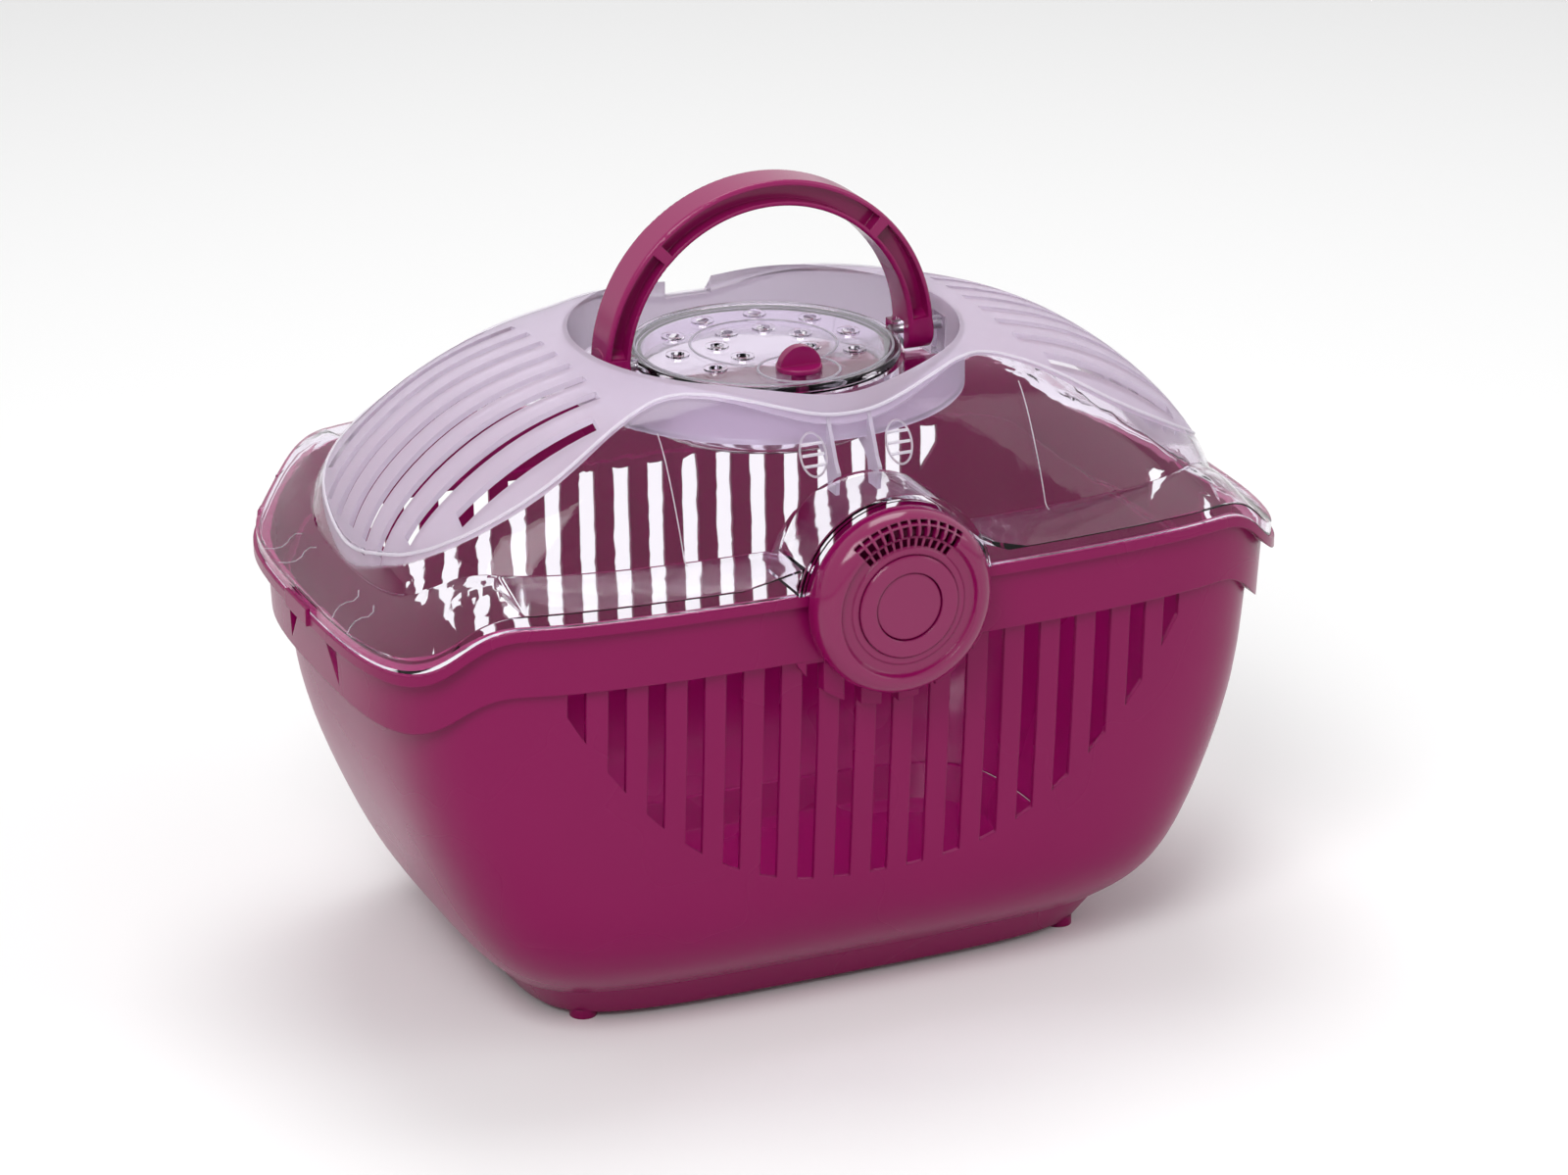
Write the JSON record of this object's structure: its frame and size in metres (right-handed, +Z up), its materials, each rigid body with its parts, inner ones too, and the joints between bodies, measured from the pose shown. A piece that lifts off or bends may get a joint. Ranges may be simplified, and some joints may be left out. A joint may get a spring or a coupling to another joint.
{
  "type": "pet carrier basket",
  "caption": "Small-animal carrier basket: tapered tub with barred sides, hinged clear domed lid, folding bow handle, round front clasp and a treat compartment.",
  "frame": {"origin": "on the floor under the middle of the tub", "axes": "+Z up, +X along the length, -Y towards the clasp"},
  "size_m": [0.5048, 0.3463, 0.402],
  "materials": {
    "tub_plastic": "satin moulded magenta",
    "trim_plastic": "gloss moulded magenta",
    "clear_plastic": "clear moulding with frosted areas",
    "steel": "plain wire"
  },
  "bodies": {
    "tub": {"tub": "tub_plastic", "lid_hinge_pins": "steel", "clasp_pivot_pin": "steel"},
    "lid": {"lid": "clear_plastic", "handle_pins": "steel", "compartment_tray": "clear_plastic"},
    "handle": {"handle": "trim_plastic"},
    "cover": {"compartment_cover": "clear_plastic"},
    "knob": {"turn_knob": "trim_plastic", "knob_tongue": "trim_plastic", "knob_screw": "steel"},
    "clasp": {"clasp_ring": "tub_plastic", "clasp_face": "tub_plastic", "clasp_back_plate": "tub_plastic", "clasp_screws": "steel", "button_spring": "steel"},
    "button": {"release_button": "tub_plastic"},
    "bolt": {"latch_bolt": "tub_plastic"}
  },
  "joints": [
    {"name": "lid_hinge", "type": "hinge", "parent": "tub", "child": "lid", "pos_m": [0, 0.1655, 0.2435], "axis": [-1, 0, 0], "range_deg": [0, 100]},
    {"name": "handle_fold", "type": "hinge", "parent": "lid", "child": "handle", "pos_m": [0, 0, 0.312], "axis": [-1, 0, 0], "range_deg": [0, 90]},
    {"name": "cover_lift", "type": "slide", "parent": "lid", "child": "cover", "axis": [0, 0, 1], "range_m": [0, 0.02]},
    {"name": "knob_turn", "type": "hinge", "parent": "cover", "child": "knob", "pos_m": [0, -0.044, 0.315], "axis": [0, 0, 1], "range_deg": [0, 90]},
    {"name": "clasp_pivot", "type": "hinge", "parent": "tub", "child": "clasp", "pos_m": [0, -0.165, 0.1986], "axis": [1, 0, 0], "range_deg": [0, 30]},
    {"name": "button_press", "type": "slide", "parent": "clasp", "child": "button", "axis": [0, 1, 0], "range_m": [0, 0.003], "stiffness_N_per_m": 400},
    {"name": "bolt_draw", "type": "slide", "parent": "clasp", "child": "bolt", "axis": [0, 0, -1], "range_m": [0, 0.003]}
  ],
  "couplings": [
    {"joint": "bolt_draw", "follows": "button_press", "ratio": 1}
  ]
}
